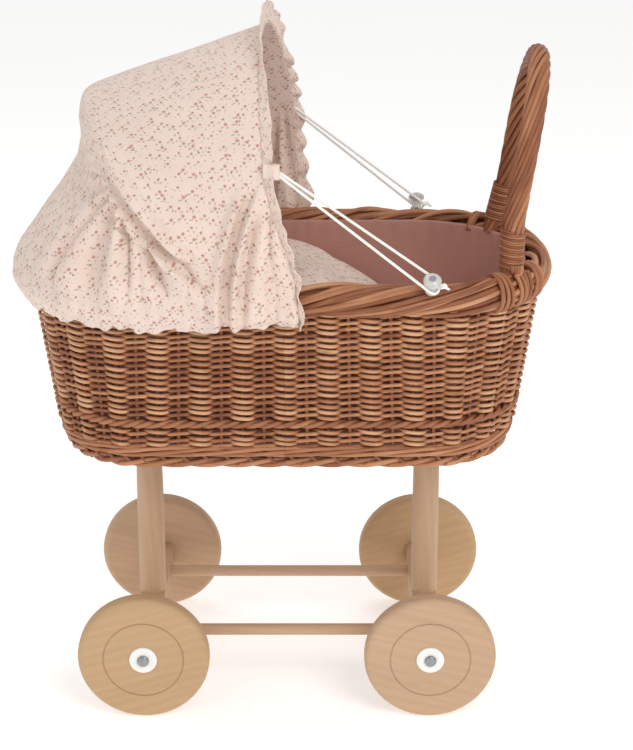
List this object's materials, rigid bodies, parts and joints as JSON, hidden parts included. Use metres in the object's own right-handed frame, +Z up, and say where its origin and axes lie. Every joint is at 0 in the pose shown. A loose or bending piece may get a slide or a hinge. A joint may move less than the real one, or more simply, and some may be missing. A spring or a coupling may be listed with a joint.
{
  "type": "doll stroller",
  "caption": "Wicker doll's pram: woven willow basket with arched handle and folding cloth hood, on a turned wooden undercarriage with disc wheels.",
  "frame": {"origin": "on the floor under the middle of the pram, halfway between the axles", "axes": "+Z up, +X from the hood end to the handle end, +Y to the pusher's right"},
  "size_m": [0.4005, 0.2378, 0.527],
  "materials": {
    "wicker": "peeled and steamed willow rods, satin",
    "beech": "fine sanded, unvarnished",
    "plywood": "plain birch plywood",
    "white_plastic": "moulded, smooth",
    "zinc_steel": "bright zinc",
    "bow_wood": "bent ash strip, sanded",
    "floral_cotton": "printed cotton with small sprigs",
    "plain_lining": "plain dusty rose cotton",
    "mattress_ticking": "quilted cream cotton",
    "white_elastic": "braided round elastic",
    "clear_knob": "silvery, smooth"
  },
  "bodies": {
    "pram": {"foot_border": "wicker", "side_weave_lower": "wicker", "middle_wale": "wicker", "side_weave_upper": "wicker", "rim_border": "wicker", "side_stakes": "wicker", "basket_base": "wicker", "handle_hoop": "wicker", "handle_binding_left": "wicker", "handle_binding_right": "wicker", "post_front": "beech", "post_rear": "beech", "axle_beam_front": "beech", "axle_beam_rear": "beech", "side_rail_left": "beech", "side_rail_right": "beech", "base_board": "plywood", "wheel_washers": "white_plastic", "post_screws": "zinc_steel", "axle_screws": "zinc_steel", "hood_pivot_bolts": "zinc_steel", "hood_pivot_nuts": "zinc_steel", "hood_pivot_washers": "zinc_steel", "cord_knob_screws": "zinc_steel", "hood_skirt": "floral_cotton", "pillow": "floral_cotton", "quilt": "floral_cotton", "basket_lining": "plain_lining", "mattress": "mattress_ticking", "hem_elastic": "white_elastic", "hood_cord_left": "white_elastic", "hood_cord_right": "white_elastic", "cord_knot_left": "white_elastic", "cord_knot_right": "white_elastic", "cord_knob_left": "clear_knob", "cord_knob_right": "clear_knob"},
    "wheel_front_left": {"wheel_front_left": "beech", "wheel_bush_front_left": "white_plastic"},
    "wheel_front_right": {"wheel_front_right": "beech", "wheel_bush_front_right": "white_plastic"},
    "wheel_rear_left": {"wheel_rear_left": "beech", "wheel_bush_rear_left": "white_plastic"},
    "wheel_rear_right": {"wheel_rear_right": "beech", "wheel_bush_rear_right": "white_plastic"},
    "hood_front": {"hood_bow_front": "bow_wood", "hood_cover_front": "floral_cotton", "hood_frill": "floral_cotton", "cord_tabs": "floral_cotton"},
    "hood_rear": {"hood_bow_rear": "bow_wood", "hood_cover_rear": "floral_cotton"}
  },
  "joints": [
    {"name": "wheel_front_left_spin", "type": "hinge", "parent": "pram", "child": "wheel_front_left", "pos_m": [-0.1087, -0.0925, 0.05], "axis": [0, 1, 0], "continuous": true},
    {"name": "wheel_front_right_spin", "type": "hinge", "parent": "pram", "child": "wheel_front_right", "pos_m": [-0.1087, 0.0925, 0.05], "axis": [0, 1, 0], "continuous": true},
    {"name": "wheel_rear_left_spin", "type": "hinge", "parent": "pram", "child": "wheel_rear_left", "pos_m": [0.1087, -0.0925, 0.05], "axis": [0, 1, 0], "continuous": true},
    {"name": "wheel_rear_right_spin", "type": "hinge", "parent": "pram", "child": "wheel_rear_right", "pos_m": [0.1087, 0.0925, 0.05], "axis": [0, 1, 0], "continuous": true},
    {"name": "hood_fold", "type": "hinge", "parent": "pram", "child": "hood_front", "pos_m": [-0.041, 0, 0.341], "axis": [0, -1, 0], "range_deg": [0, 78], "deforming": ["hood_cover_front", "hood_frill", "hood_cord_left", "hood_cord_right"]},
    {"name": "rear_bow_fold", "type": "hinge", "parent": "pram", "child": "hood_rear", "pos_m": [-0.041, 0, 0.341], "axis": [0, -1, 0], "range_deg": [0, 38.5], "deforming": ["hood_cover_rear"]}
  ],
  "couplings": [
    {"joint": "rear_bow_fold", "follows": "hood_fold", "ratio": 0.49}
  ]
}
